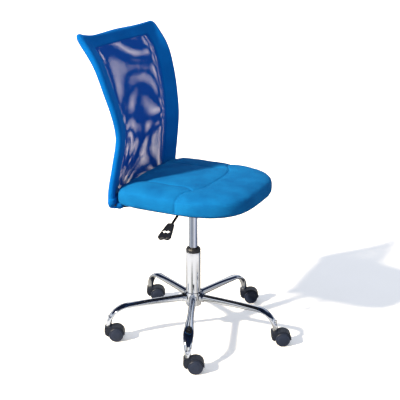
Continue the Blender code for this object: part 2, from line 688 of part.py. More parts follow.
def frame_path():
    loop = mirrored(side_line(0.0, BAND_BOTTOM + SIDE_START, BACK_TOP, TOP_CORNER, TOP_DIP))
    side = [back_point(x, z) for x, z in loop]
    rear = back_point(between(BACK_STATIONS, LEG_Z)[1], LEG_Z)
    ends = []
    for sign in (1, -1):
        corner = Vector((rear.x * sign, rear.y, rear.z))
        nearest = side[0] if sign > 0 else side[-1]
        points = [Vector((LEG_X * sign, -LEG_FRONT, LEG_Z)), Vector((LEG_X * sign, LEG_BEND, LEG_Z)),
                  corner, nearest]
        ends.append(rounded(points, (0, LEG_CORNER, LEG_RISE_CORNER, 0))[:-1])
    return ends[0] + side + list(reversed(ends[1]))


def build_frame():
    frame = add("back_frame", tube_mesh("back_frame", frame_path(), FRAME_RADIUS), PAINTED, lift)
    holes = cylinder_mesh("leg_holes", BOLT_RADIUS + GAP, LEG_Z - 2 * FRAME_RADIUS, LEG_Z + 2 * FRAME_RADIUS,
                          spots=leg_bolt_spots())
    boolean(frame, add("cut_leg_holes", holes, None, lift))
    for number, (x, y) in enumerate(leg_bolt_spots(), 1):
        bolt(f"leg_bolt_{number}", x, y, LEG_Z - FRAME_RADIUS - GAP, BOARD_Z + BOLT_GRIP)


def build_band():
    """The cover's border, a flat sleeve over the frame that is open at both lower ends."""
    outer = mirrored(side_line(0.0, BAND_BOTTOM, BACK_TOP, TOP_CORNER, TOP_DIP))
    inner = mirrored(side_line(BAND_SIDE, BAND_BOTTOM, BACK_TOP - BAND_OVER, BAND_CORNER, 0.0))
    section = (  # share of the band's width, share of its half-thickness there
        (-1.0, 0.0), (-0.72, 0.72), (0.0, 1.0), (0.35, 1.0), (0.80, 1.0), (1.0, 0.75),
        (1.0, -0.75), (0.80, -1.0), (0.35, -1.0), (0.0, -1.0), (-0.72, -0.72),
    )
    rings = []
    for (ox, oz), (ix, iz) in zip(outer, inner):
        inward = Vector((ix - ox, iz - oz))
        ring = []
        for share, thick in section:
            reach = inward * share if share > 0 else inward.normalized() * share * BAND_OUTSIDE
            inside = max(share, 0.0)
            half = BAND_HALF + (BAND_INNER_HALF - BAND_HALF) * inside
            ring.append(back_point(ox + reach.x, oz + reach.y, thick * half - BAND_RECESS * inside))
        rings.append(ring)
    bm = bmesh.new()
    loft(bm, rings)
    band = add("back_band", mesh_of(bm, "back_band"), BAND, lift)
    channel = tube_mesh("channel", frame_path(), FRAME_RADIUS + BAND_SLEEVE)
    boolean(band, add("cut_channel", channel, None, lift))


def build_netting():
    top = BACK_TOP - BAND_OVER - MESH_GAP
    for name, offset in (("back_mesh_front", MESH_OFFSET), ("back_mesh_rear", -MESH_OFFSET)):
        bm = bmesh.new()
        grid = []
        for row in range(MESH_ROWS + 1):
            z = BAND_BOTTOM + (top - BAND_BOTTOM) * row / MESH_ROWS
            half = between(BACK_STATIONS, z)[1] - BAND_SIDE - MESH_GAP
            grid.append([
                bm.verts.new(back_point(half * (2 * column / MESH_COLUMNS - 1), z, offset - BAND_RECESS))
                for column in range(MESH_COLUMNS + 1)
            ])
        for low, high in zip(grid, grid[1:]):
            for i in range(MESH_COLUMNS):
                bm.faces.new((low[i], low[i + 1], high[i + 1], high[i]))
        layer = add(name, mesh_of(bm, name), NETTING, lift)
        sheet = layer.modifiers.new("sheet", "SOLIDIFY")
        sheet.thickness = MESH_THICKNESS
        sheet.offset = 0.0


# ---------------------------------------------------------------- casters

def hood_outline():
    """Side view of the hood as (trail, height), from the stem's axis."""
    cover = ((2.174, 1.022), (2.139, 1.348), (1.965, 1.761), (1.609, 2.087), (1.130, 2.217), (0.717, 2.183))
    below = ((-0.591, 1.435), (-0.478, 1.043), (-0.261, 0.848), (0.261, 0.565), (1.739, 0.565))
    boss = [(BOSS_HALF, BOSS_Z), (-BOSS_HALF, BOSS_Z), (-BOSS_HALF - HOOD_EDGE, BOSS_Z - HOOD_EDGE)]
    over, under = ([(x * WHEEL_RADIUS, z * WHEEL_RADIUS) for x, z in side] for side in (cover, below))
    return over + boss + under


def build_caster(number, angle):
    place = (CASTER_CIRCLE * cos(angle), CASTER_CIRCLE * sin(angle), 0.0)
    collar = BOSS_Z + GAP
    tip = ARM_TIP_Z + STEM_LENGTH
    turned(f"stem_{number}", [
        (0.0, tip), (STEM_RADIUS - STEM_EDGE, tip), (STEM_RADIUS, tip - STEM_EDGE),
        (STEM_RADIUS, collar + COLLAR_HEIGHT),
        (COLLAR_RADIUS, collar + COLLAR_HEIGHT), (COLLAR_RADIUS, collar), (STEM_RADIUS, collar),
        (STEM_RADIUS, BOSS_Z - STEM_DEPTH), (0.0, BOSS_Z - STEM_DEPTH),
    ], CHROME, chair, place, steps=SMALL_STEPS)

    swing = empty(f"caster_{number}", chair, place)
    swing.rotation_euler = (0, 0, TRAIL_TURN)
    bm = bmesh.new()
    loft(bm, [[(x, y, z) for x, z in hood_outline()] for y in (-HOOD_HALF, HOOD_HALF)])
    hood = add(f"hood_{number}", mesh_of(bm, "hood"), DARK_PLASTIC, swing)
    bevel(hood, HOOD_EDGE, 2, radians(70))
    over_axle = Matrix.Translation((TRAIL, 0.0, WHEEL_RADIUS)) @ Matrix.Rotation(pi / 2, 4, "X")
    well, width = WHEEL_RADIUS + WHEEL_AIR, 2 * HOOD_HALF
    wells = bmesh.new()
    for side in (-1, 1):
        aside = Matrix.Translation((0.0, side * (WEB_HALF + width / 2), 0.0))
        bmesh.ops.create_cone(wells, cap_ends=True, segments=ROUND_STEPS, radius1=well, radius2=well,
                              depth=width, matrix=aside @ over_axle)
    boolean(hood, add(f"cut_wells_{number}", mesh_of(wells, "wells"), None, swing))
    socket, hole = STEM_RADIUS + RUNNING, AXLE_RADIUS + GAP
    bores = bmesh.new()
    stem_bore = Matrix.Translation((0.0, 0.0, BOSS_Z - STEM_DEPTH - GAP + width / 2))
    bmesh.ops.create_cone(bores, cap_ends=True, segments=SMALL_STEPS, radius1=socket, radius2=socket,
                          depth=width, matrix=stem_bore)
    bmesh.ops.create_cone(bores, cap_ends=True, segments=SMALL_STEPS, radius1=hole, radius2=hole,
                          depth=width, matrix=over_axle)
    boolean(hood, add(f"cut_bores_{number}", mesh_of(bores, "bores"), None, swing))

    inner = WEB_HALF + RUNNING
    outer = inner + WHEEL_WIDTH
    axle_end = outer - WHEEL_FACE - GAP
    axle = empty(f"axle_line_{number}", swing, (TRAIL, 0.0, WHEEL_RADIUS))
    add(f"axle_{number}", cylinder_mesh("axle", AXLE_RADIUS, -axle_end, axle_end), STEEL, axle,
        turn=(pi / 2, 0, 0))
    bore = AXLE_RADIUS + RUNNING
    cap = outer - WHEEL_FACE
    profile = [
        (0.0, outer), (WHEEL_RADIUS - 2 * WHEEL_EDGE, outer),
        (WHEEL_RADIUS - 0.57 * WHEEL_EDGE, outer - 0.25 * WHEEL_EDGE), (WHEEL_RADIUS, outer - WHEEL_EDGE),
        (WHEEL_RADIUS, inner + WHEEL_EDGE / 2), (WHEEL_RADIUS - WHEEL_EDGE / 2, inner),
        (bore, inner), (bore, cap), (0.0, cap),
    ]
    for side, tilt in (("right", pi / 2), ("left", -pi / 2)):
        turned(f"wheel_{number}_{side}", profile, PLASTIC, axle, turn=(tilt, 0, 0), steps=ROUND_STEPS)


build_base()
build_column()
build_spindle()
build_cylinder()
build_plate()
build_board()
build_cushion()
build_lever()
build_frame()
build_band()
build_netting()
for caster_number, caster_angle in enumerate(arm_angles(), 1):
    build_caster(caster_number, caster_angle)
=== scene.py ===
from math import atan2, cos, hypot, pi, radians, sin

import bmesh
import bpy
from mathutils import Matrix, Vector
from mathutils.geometry import intersect_point_line


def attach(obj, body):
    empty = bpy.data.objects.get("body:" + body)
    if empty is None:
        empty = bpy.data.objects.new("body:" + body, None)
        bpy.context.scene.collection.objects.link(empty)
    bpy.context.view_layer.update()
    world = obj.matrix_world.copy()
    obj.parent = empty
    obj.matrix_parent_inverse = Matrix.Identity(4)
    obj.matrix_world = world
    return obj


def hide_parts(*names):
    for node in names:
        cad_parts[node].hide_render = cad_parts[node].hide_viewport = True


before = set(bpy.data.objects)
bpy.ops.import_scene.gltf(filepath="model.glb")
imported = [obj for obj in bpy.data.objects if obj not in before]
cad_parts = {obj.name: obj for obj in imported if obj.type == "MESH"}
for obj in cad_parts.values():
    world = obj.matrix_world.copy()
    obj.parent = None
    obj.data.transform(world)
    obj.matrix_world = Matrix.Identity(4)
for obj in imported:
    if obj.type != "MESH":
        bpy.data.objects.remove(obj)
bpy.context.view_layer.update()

# ---------------------------------------------------------------- studio
# A white paper floor under one low lamp behind the sitter's right shoulder, in a pale room. Polished
# parts do not mirror plain white: to them the room is panels with dark gaps, and the floor carries painted
# reflections, bands round the column that only mirrors see, which give chrome its streaks. Metres; the sitter
# faces -Y.

scene = bpy.context.scene
scene.view_settings.view_transform = "Standard"
COLUMN = Vector((-0.0142, 0.0243, 0.0))


def linear(hex_colour):
    """An sRGB hex colour as linear RGBA."""
    parts = [int(hex_colour[i:i + 2], 16) / 255 for i in (1, 3, 5)]
    return (*(p / 12.92 if p <= 0.04045 else ((p + 0.055) / 1.055) ** 2.4 for p in parts), 1.0)


def add_node(tree, kind, inputs=None, **settings):
    """Adds a shader node, sets its properties, and fills or links its inputs."""
    made = tree.nodes.new("ShaderNode" + kind)
    for name, value in settings.items():
        setattr(made, name, value)
    for name, value in (inputs or {}).items():
        if isinstance(value, bpy.types.NodeSocket):
            tree.links.new(value, made.inputs[name])
        else:
            made.inputs[name].default_value = value
    return made


def ramp_of(tree, value, stops):
    """Colours along a value."""
    ramp = add_node(tree, "ValToRGB", {"Fac": value})
    points = ramp.color_ramp.elements
    while len(points) < len(stops):
        points.new(0.5)
    for point, (place, colour) in zip(points, stops):
        point.position = place
        point.color = linear(colour)
    return ramp.outputs["Color"]


lens = bpy.data.cameras.new("camera")
lens.sensor_width = 36.0
lens.lens = 81.06
lens.shift_x = 0.01668
camera = bpy.data.objects.new("camera", lens)
VIEW_TURN, VIEW_TILT = radians(-63.5), radians(18.8215)
VIEW_DISTANCE, VIEW_HEIGHT = 2.632, 1.3410
camera.location = COLUMN + Vector((
    VIEW_DISTANCE * sin(VIEW_TURN), -VIEW_DISTANCE * cos(VIEW_TURN), VIEW_HEIGHT,
))
camera.rotation_euler = (pi / 2 - VIEW_TILT, 0.0, VIEW_TURN)
scene.collection.objects.link(camera)
scene.camera = camera

TO_LAMP = Vector((-1.24, 0.72, 1.0))
lamp = bpy.data.lights.new("lamp", "SUN")
lamp.energy = 8.6
lamp.angle = radians(4.0)
lamp.color = linear("#FFEED2")[:3]
lamp_stand = bpy.data.objects.new("lamp", lamp)
lamp_stand.rotation_euler = TO_LAMP.to_track_quat("Z", "Y").to_euler()
scene.collection.objects.link(lamp_stand)

room = bpy.data.worlds.new("room")
room.use_nodes = True
scene.world = room
tree = room.node_tree
tree.nodes.clear()
toward = add_node(tree, "TexCoord").outputs["Generated"]
parts_of = add_node(tree, "SeparateXYZ", {"Vector": toward})
drift = add_node(tree, "TexNoise", {"Vector": toward, "Scale": 1.6, "Detail": 1.0}).outputs["Fac"]
height = add_node(tree, "Math", {0: parts_of.outputs["Z"], 1: drift}, operation="ADD").outputs[0]
height = add_node(tree, "Math", {0: height, 1: 0.62}, operation="MULTIPLY").outputs[0]
panels = ramp_of(tree, height, (
    (0.0, "#FFFFFF"), (0.30, "#F4F7FF"), (0.34, "#2A3350"), (0.40, "#10141F"), (0.44, "#C9D2E2"),
    (0.50, "#FFFFFF"), (0.56, "#B9C6DC"), (0.61, "#26304A"), (0.82, "#0E1626"), (1.0, "#1A2440"),
))
path = add_node(tree, "LightPath")
sky = ramp_of(tree, parts_of.outputs["Z"], ((0.0, "#CCD8F0"), (0.9, "#EEF5FF")))
fill = add_node(tree, "Background", {"Color": sky, "Strength": 0.74})
mirror = add_node(tree, "Background", {"Color": panels, "Strength": 1.1})
backdrop = add_node(tree, "Background", {"Color": (1.0, 1.0, 1.0, 1.0), "Strength": 1.0})
lit = add_node(tree, "MixShader", {
    0: path.outputs["Is Glossy Ray"], 1: fill.outputs[0], 2: mirror.outputs[0],
})
seen = add_node(tree, "MixShader", {
    0: path.outputs["Is Camera Ray"], 1: lit.outputs[0], 2: backdrop.outputs[0],
})
add_node(tree, "OutputWorld", {"Surface": seen.outputs[0]})

FLOOR_RADIUS, FLOOR_DROP = 14.0, 0.0005
BANDS_TURN = radians(153.5)
NEAR_BANDS, FAR_BANDS = (0.46, 0.64), (0.68, 0.72)  # distances from the column at which the bands change
bm = bmesh.new()
bmesh.ops.create_circle(bm, cap_ends=True, segments=96, radius=FLOOR_RADIUS)
bmesh.ops.translate(bm, verts=bm.verts, vec=(0.0, 0.0, -FLOOR_DROP))
paper = bpy.data.meshes.new("floor")
bm.to_mesh(paper)
bm.free()
floor = bpy.data.objects.new("floor", paper)
scene.collection.objects.link(floor)
paper_look = bpy.data.materials.new("matt_white_paper")
paper_look.use_nodes = True
tree = paper_look.node_tree
shader = tree.nodes["Principled BSDF"]
shader.inputs["Roughness"].default_value = 0.9
shader.inputs["Specular IOR Level"].default_value = 0.1
place = add_node(tree, "TexCoord").outputs["Object"]
grain = add_node(tree, "TexNoise", {"Vector": place, "Scale": 9.0})
tint = ramp_of(tree, grain.outputs["Fac"], ((0.3, "#FCFCFC"), (0.7, "#FEFEFE")))
around = add_node(tree, "Mapping", {"Vector": place, "Location": -COLUMN}).outputs[0]
around = add_node(tree, "VectorRotate", {"Vector": around, "Angle": BANDS_TURN},
                  rotation_type="Z_AXIS").outputs[0]
at = add_node(tree, "SeparateXYZ", {"Vector": around})
bearing = add_node(tree, "Math", {0: at.outputs["Y"], 1: at.outputs["X"]}, operation="ARCTAN2").outputs[0]
bearing = add_node(tree, "MapRange", {"Value": bearing, "From Min": -pi, "From Max": pi}).outputs["Result"]
# Painted reflections: tones round the column that the floor shows only to mirror rays, giving the chrome its
# streaks.
far_painted_bands = ramp_of(tree, bearing, (
    (0.0, "#B8BCC6"), (0.10, "#7F868F"), (0.249, "#828C9C"), (0.342, "#7E8BA2"), (0.40, "#566177"),
    (0.44, "#566177"), (0.50, "#868D9A"), (0.576, "#B0B8CC"), (0.657, "#8590AE"), (0.72, "#525D74"),
    (0.78, "#525D74"), (0.90, "#C0C4D0"), (1.0, "#C0C4D0"),
))
near_painted_bands = ramp_of(tree, bearing, (
    (0.0, "#8E9094"), (0.10, "#7F8286"), (0.16, "#979A9C"), (0.23, "#CDD3DE"), (0.38, "#CDD3DE"),
    (0.43, "#6A7073"), (0.465, "#6A7073"), (0.50, "#C6CCD8"), (0.60, "#C3CAD6"), (0.65, "#8A8D92"),
    (0.71, "#93969B"), (0.78, "#A6A9AE"), (0.86, "#808388"), (1.0, "#8E9094"),
))
middle_painted_bands = ramp_of(tree, bearing, (
    (0.0, "#8C8E92"), (0.10, "#B0B6C2"), (0.20, "#C8CEDA"), (0.70, "#C6CCD8"), (0.79, "#A8AEB8"),
    (0.90, "#7C7E82"), (1.0, "#8C8E92"),
))
away = add_node(tree, "VectorMath", {0: around}, operation="LENGTH").outputs["Value"]
near, far = (
    add_node(tree, "MapRange", {"Value": away, "From Min": start, "From Max": end}).outputs["Result"]
    for start, end in (NEAR_BANDS, FAR_BANDS)
)
close = add_node(tree, "Mix", {"Factor": near, "A": near_painted_bands, "B": middle_painted_bands}, data_type="RGBA").outputs["Result"]
painted_mirror_bands = add_node(tree, "Mix", {"Factor": far, "A": close, "B": far_painted_bands}, data_type="RGBA").outputs["Result"]
# The bands are painted reflections, for mirrors only. The floor is plain when looked at, and a mid grey
# in the light it throws back, so that it does not brighten the undersides.
ray = add_node(tree, "LightPath")
tint = add_node(tree, "Mix", {"Factor": ray.outputs["Is Glossy Ray"], "A": tint, "B": painted_mirror_bands},
                data_type="RGBA").outputs["Result"]
tint = add_node(tree, "Mix", {"Factor": ray.outputs["Is Diffuse Ray"], "A": tint, "B": linear("#8F939C")},
                data_type="RGBA").outputs["Result"]
tree.links.new(tint, shader.inputs["Base Color"])
lift = add_node(tree, "Math", {0: ray.outputs["Is Camera Ray"], 1: 0.19}, operation="MULTIPLY")
tree.links.new(lift.outputs[0], shader.inputs["Emission Strength"])
shader.inputs["Emission Color"].default_value = linear("#FFFAF6")
paper.materials.append(paper_look)


# ---------------------------------------------------------------- chromed base
# Five bent steel tubes pressed oval at the bend, a turned hub with a collar over each root, all
# polished and nickel-chrome plated. Plating is a mirror with the faint waviness of the buffed steel
# below it.

def look_of(name, colour, roughness, metallic=0.0):
    """A material with its tree and shader, its plain values on the shader's own sockets."""
    look = bpy.data.materials.new(name)
    look.use_nodes = True
    shader = look.node_tree.nodes["Principled BSDF"]
    shader.inputs["Base Color"].default_value = linear(colour)
    shader.inputs["Roughness"].default_value = roughness
    shader.inputs["Metallic"].default_value = metallic
    return look, look.node_tree, shader


def span(tree, value, low, high):
    """A 0 to 1 value moved to low to high."""
    return add_node(tree, "MapRange", {"Value": value, "To Min": low, "To Max": high}).outputs["Result"]


CHROME, tree, shader = look_of("bright_chrome_plate", "#DCDEE2", 0.05, 1.0)
place = add_node(tree, "TexCoord").outputs["Object"]
buffing = add_node(tree, "TexNoise", {"Vector": place, "Scale": 60.0, "Detail": 2.0}).outputs["Fac"]
haze = add_node(tree, "TexNoise", {"Vector": place, "Scale": 9.0, "Detail": 3.0}).outputs["Fac"]
tree.links.new(span(tree, haze, 0.03, 0.10), shader.inputs["Roughness"])
tone = ramp_of(tree, haze, ((0.3, "#D6D9DE"), (0.7, "#E4E6E9")))
tree.links.new(tone, shader.inputs["Base Color"])
wavy = add_node(tree, "Bump", {"Height": buffing, "Strength": 0.05, "Distance": 0.002})
tree.links.new(wavy.outputs["Normal"], shader.inputs["Normal"])


def dress(look, *names):
    """Gives CAD nodes a better finish."""
    for name in names:
        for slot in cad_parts[name].material_slots:
            slot.material = look


def between(stations, at):
    """Smooth values at a place along stations (place, value, value, ...)."""
    last = len(stations) - 1
    i = next((n for n in range(last) if at <= stations[n + 1][0]), last - 1)
    one, two = stations[i], stations[i + 1]
    before, after = stations[max(i - 1, 0)], stations[min(i + 2, last)]
    reach = two[0] - one[0]
    t = (at - one[0]) / reach
    values = []
    for a, b, c, d in zip(before[1:], one[1:], two[1:], after[1:]):
        leave = (c - a) / (two[0] - before[0]) * reach
        arrive = (d - b) / (after[0] - one[0]) * reach
        values.append((2 * t**3 - 3 * t**2 + 1) * b + (t**3 - 2 * t**2 + t) * leave
                      + (3 * t**2 - 2 * t**3) * c + (t**3 - t**2) * arrive)
    return values


def sweep(bm, rings):
    """Extrudes a closed ring of points from station to station and closes both ends."""
    spot = bm.verts.layers.int.get("spot") or bm.verts.layers.int.new("spot")
    ring = bmesh.ops.create_circle(bm, segments=len(rings[0]), radius=1.0)["verts"]
    for i, vert in enumerate(ring):
        vert[spot] = i
        vert.co = rings[0][i]
    edges = list({edge for vert in ring for edge in vert.link_edges})
    ends = list(edges)
    for points in rings[1:]:
        grown = bmesh.ops.extrude_edge_only(bm, edges=edges)["geom"]
        moved = {item for item in grown if isinstance(item, bmesh.types.BMVert)}
        for vert in moved:
            vert.co = points[vert[spot]]
        edges = [item for item in grown
                 if isinstance(item, bmesh.types.BMEdge) and set(item.verts) <= moved]
    bmesh.ops.edgeloop_fill(bm, edges=ends)
    bmesh.ops.edgeloop_fill(bm, edges=edges)


def piece(name, bm, look, body, replaced=(), sharp=40):
    """Makes a finished piece of a bmesh and lets it ride on its body."""
    bmesh.ops.recalc_face_normals(bm, faces=bm.faces)
    mesh = bpy.data.meshes.new(name)
    bm.to_mesh(mesh)
    bm.free()
    mesh.shade_smooth()
    mesh.set_sharp_from_angle(angle=radians(sharp))
    mesh.materials.append(look)
    made = bpy.data.objects.new(name, mesh)
    scene.collection.objects.link(made)
    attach(made, body)
    if replaced:
        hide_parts(*replaced)
    return made


CASTER_CIRCLE, ARM_TIP, ARM_ROOT, ARM_FALL, BEND = 0.275, 0.0505, 0.119, 0.007, 0.066
HUB_RADIUS, COLLAR_REACH, ROOT_GAP = 0.0254, 0.011, 0.0003
STRAIGHT_STEPS, BEND_STEPS, TUBE_SIDES = 20, 24, 28
ARM_WIDTHS = (  # share of the arm's length, half-width, half-height
    (0.00, 0.0110, 0.0120), (0.40, 0.0112, 0.0106), (0.62, 0.0142, 0.0088), (0.76, 0.0165, 0.0072),
    (0.88, 0.0135, 0.0074), (1.00, 0.0088, 0.0088),
)
ARM_ANGLES = [radians(-85.0 - 72.0 * i) for i in range(5)]

bend_start = CASTER_CIRCLE - BEND
fall_start = HUB_RADIUS + COLLAR_REACH
line = [Vector((HUB_RADIUS + ROOT_GAP, 0.0, ARM_ROOT))]
for i in range(STRAIGHT_STEPS):
    run = fall_start + (bend_start - fall_start) * i / STRAIGHT_STEPS
    line.append(Vector((run, 0.0, ARM_ROOT - ARM_FALL * i / STRAIGHT_STEPS)))
for i in range(BEND_STEPS + 1):
    turn = pi / 2 * i / BEND_STEPS
    drop = (ARM_ROOT - ARM_FALL - ARM_TIP) * (1 - cos(turn))
    line.append(Vector((bend_start + BEND * sin(turn), 0.0, ARM_ROOT - ARM_FALL - drop)))
lengths = [0.0]
for a, b in zip(line, line[1:]):
    lengths.append(lengths[-1] + (b - a).length)
rings = []
for i, middle in enumerate(line):
    along = (line[min(i + 1, len(line) - 1)] - line[max(i - 1, 0)]).normalized()
    if i == len(line) - 1:
        along = Vector((0.0, 0.0, -1.0))
    up = along.cross(Vector((0.0, -1.0, 0.0)))
    wide, high = between(ARM_WIDTHS, lengths[i] / lengths[-1])
    rings.append([middle + Vector((0.0, wide * cos(t), 0.0)) + up * high * sin(t)
                  for t in (2 * pi * k / TUBE_SIDES for k in range(TUBE_SIDES))])
for number, angle in enumerate(ARM_ANGLES, 1):
    bm = bmesh.new()
    sweep(bm, rings)
    swing = Matrix.Translation(COLUMN) @ Matrix.Rotation(angle, 4, "Z")
    bmesh.ops.transform(bm, matrix=swing, verts=bm.verts)
    piece(f"arm_tube_{number}", bm, CHROME, "base", (f"arm_{number}",))
dress(CHROME, "hub", "column_tube", "gas_cylinder", *(f"stem_{i}" for i in range(1, 6)))

# ---------------------------------------------------------------- guide bush
# An injection-moulded nylon guide at the tube's mouth, matt black with a soft burnish where the
# cylinder slides.

BUSH, tree, shader = look_of("black_moulded_nylon", "#15171C", 0.45)
place = add_node(tree, "TexCoord").outputs["Object"]
skin = add_node(tree, "TexNoise", {"Vector": place, "Scale": 900.0, "Detail": 2.0}).outputs["Fac"]
patch = add_node(tree, "TexNoise", {"Vector": place, "Scale": 30.0}).outputs["Fac"]
tree.links.new(span(tree, patch, 0.34, 0.52), shader.inputs["Roughness"])
tree.links.new(ramp_of(tree, patch, ((0.3, "#121419"), (0.7, "#1B1E25"))), shader.inputs["Base Color"])
rough = add_node(tree, "Bump", {"Height": skin, "Strength": 0.2, "Distance": 0.0003})
tree.links.new(rough.outputs["Normal"], shader.inputs["Normal"])
dress(BUSH, "guide_bush")

# ---------------------------------------------------------------- casters
# Twin wheels moulded in hard nylon, each a domed disc with a rolled edge and a shallow ring, under a
# darker hood. A fine spark-eroded grain keeps the gloss low.


def moulded(name, low, high, roughness):
    """Moulded nylon in two close tones with a spark-eroded grain about 0.6 mm across."""
    look, tree, shader = look_of(name, low, roughness)
    place = add_node(tree, "TexCoord").outputs["Object"]
    grain = add_node(tree, "TexNoise", {"Vector": place, "Scale": 1600.0, "Detail": 1.0}).outputs["Fac"]
    cloud = add_node(tree, "TexNoise", {"Vector": place, "Scale": 40.0, "Detail": 3.0}).outputs["Fac"]
    tree.links.new(ramp_of(tree, cloud, ((0.3, low), (0.7, high))), shader.inputs["Base Color"])
    tree.links.new(span(tree, cloud, roughness - 0.06, roughness + 0.08), shader.inputs["Roughness"])
    rough = add_node(tree, "Bump", {"Height": grain, "Strength": 0.25, "Distance": 0.0002})
    tree.links.new(rough.outputs["Normal"], shader.inputs["Normal"])
    shader.inputs["Specular IOR Level"].default_value = 0.35
    return look


WHEEL = moulded("navy_grey_nylon", "#1A2234", "#20293D", 0.36)
HOOD = moulded("dark_navy_nylon", "#121724", "#171D2B", 0.40)
WHEEL_RADIUS, TRAIL, WEB = 0.023, 0.023, 0.0066
TRAIL_TURN = radians(-63.5)  # all five trail the same way, as after a push
WHEEL_PROFILE = (  # radius, distance out from the web
    (0.0029, 0.0), (0.0190, 0.0), (0.0200, 0.0010), (0.0222, 0.0010), (0.0230, 0.0024),
    (0.0230, 0.0096), (0.0226, 0.0112), (0.0214, 0.0123), (0.0200, 0.0126), (0.0188, 0.0124),
    (0.0182, 0.0118), (0.0172, 0.0118), (0.0164, 0.0125), (0.0120, 0.0133), (0.0070, 0.0137),
    (0.0, 0.0138),
)
for number, angle in enumerate(ARM_ANGLES, 1):
    stem = COLUMN + Vector((CASTER_CIRCLE * cos(angle), CASTER_CIRCLE * sin(angle), 0.0))
    swing = Matrix.Translation(stem) @ Matrix.Rotation(TRAIL_TURN, 4, "Z")
    for side, tilt in (("right", 1), ("left", -1)):
        bm = bmesh.new()
        rim = [bm.verts.new((r, 0.0, WEB + out)) for r, out in WHEEL_PROFILE]
        edges = [bm.edges.new(pair) for pair in zip(rim, rim[1:])]
        bmesh.ops.spin(bm, geom=rim + edges, cent=(0, 0, 0), axis=(0, 0, 1), angle=2 * pi, steps=48,
                       use_merge=True)
        bmesh.ops.remove_doubles(bm, verts=bm.verts, dist=0.00001)
        hole = [edge for edge in bm.edges if edge.is_boundary]
        bmesh.ops.edgeloop_fill(bm, edges=hole)
        axle = Matrix.Translation((TRAIL, 0.0, WHEEL_RADIUS)) @ Matrix.Rotation(tilt * pi / 2, 4, "X")
        bmesh.ops.transform(bm, matrix=swing @ axle, verts=bm.verts)
        piece(f"disc_{number}_{side}", bm, WHEEL, f"wheel_{number}_{side}", (f"wheel_{number}_{side}",),
              50)
dress(HOOD, *(f"hood_{i}" for i in range(1, 6)))

# ---------------------------------------------------------------- bright hardware
# Bolts, rod, bearing, clip and pins of turned or headed steel, zinc plated after tumbling, which
# leaves them grey and half dull with a faint spangle.

ZINC, tree, shader = look_of("tumbled_zinc_plate", "#A9ADB3", 0.35, 1.0)
place = add_node(tree, "TexCoord").outputs["Object"]
spangle = add_node(tree, "TexVoronoi", {"Vector": place, "Scale": 700.0}).outputs["Distance"]
tree.links.new(ramp_of(tree, spangle, ((0.0, "#9EA3AA"), (0.8, "#B4B8BD"))), shader.inputs["Base Color"])
tree.links.new(span(tree, spangle, 0.28, 0.46), shader.inputs["Roughness"])
dress(ZINC, "piston_rod", "thrust_bearing", "retaining_clip", "release_pin", "lever_pivot")
dress(ZINC, *(f"axle_{i}" for i in range(1, 6)))
dress(ZINC, *(f"{kind}_bolt_{i}" for kind in ("plate", "leg") for i in range(1, 5)))

# ---------------------------------------------------------------- painted steel
# Seat plate, socket, lever bracket, lever rod and back frame, powder coated black: a fine orange-peel
# skin that is half gloss.

PAINT, tree, shader = look_of("black_powder_coat", "#131417", 0.38)
place = add_node(tree, "TexCoord").outputs["Object"]
peel = add_node(tree, "TexNoise", {"Vector": place, "Scale": 500.0, "Detail": 1.0}).outputs["Fac"]
tree.links.new(span(tree, peel, 0.30, 0.46), shader.inputs["Roughness"])
tree.links.new(ramp_of(tree, peel, ((0.3, "#111215"), (0.7, "#191A1F"))), shader.inputs["Base Color"])
skin = add_node(tree, "Bump", {"Height": peel, "Strength": 0.3, "Distance": 0.0004})
tree.links.new(skin.outputs["Normal"], shader.inputs["Normal"])
dress(PAINT, "mounting_plate", "column_socket", "lever_bracket", "lever_rod", "back_frame")

# ---------------------------------------------------------------- seat board
# Rotary-cut birch plywood, raw, bolted to the seat plate and sunk in the foam. The figure is long
# and pale, and runs across the seat.

PLY, tree, shader = look_of("raw_birch_plywood", "#B08E62", 0.7)
place = add_node(tree, "TexCoord").outputs["Object"]
place = add_node(tree, "Mapping", {"Vector": place, "Scale": (4.0, 45.0, 45.0)})
figure = add_node(tree, "TexNoise", {"Vector": place.outputs[0], "Scale": 1.0, "Detail": 4.0}).outputs["Fac"]
tree.links.new(ramp_of(tree, figure, ((0.3, "#A07C50"), (0.7, "#C2A175"))), shader.inputs["Base Color"])
tree.links.new(span(tree, figure, 0.62, 0.8), shader.inputs["Roughness"])
dress(PLY, "seat_board")

# ---------------------------------------------------------------- dust cover
# Black spun-bonded cloth under the board, held between it and the steel parts and turned in at its edge,
# where wire staples hold it. The bonded dots give it a dull, pimpled face.

DUST, tree, shader = look_of("black_spunbond", "#0C0D11", 0.85)
place = add_node(tree, "TexCoord").outputs["Object"]
dots = add_node(tree, "TexVoronoi", {"Vector": place, "Scale": 420.0, "Randomness": 0.15}).outputs["Distance"]
tree.links.new(ramp_of(tree, dots, ((0.2, "#08090C"), (0.7, "#14161C"))), shader.inputs["Base Color"])
pimples = add_node(tree, "Bump", {"Height": dots, "Strength": 0.5, "Distance": 0.0004})
tree.links.new(pimples.outputs["Normal"], shader.inputs["Normal"])
SEAT_HALF, SEAT_FRONT, SEAT_REAR, BOARD_Z = 0.2105, 0.227, 0.177, 0.466
FRONT_SQUARENESS = 3.1


def plan(inset, squareness=5.0, count=120):
    """The seat's outline from above, its front rounder than its rear."""
    outline = []
    for step in range(count):
        t = 2 * pi * (step + 0.5) / count
        reach, power = (SEAT_FRONT, FRONT_SQUARENESS) if sin(t) < 0 else (SEAT_REAR, squareness)
        outline.append(COLUMN + Vector((
            (SEAT_HALF - inset) * abs(cos(t)) ** (2 / power) * (1 if cos(t) > 0 else -1),
            (reach - inset) * abs(sin(t)) ** (2 / power) * (1 if sin(t) > 0 else -1),
            0.0,
        )))
    return outline


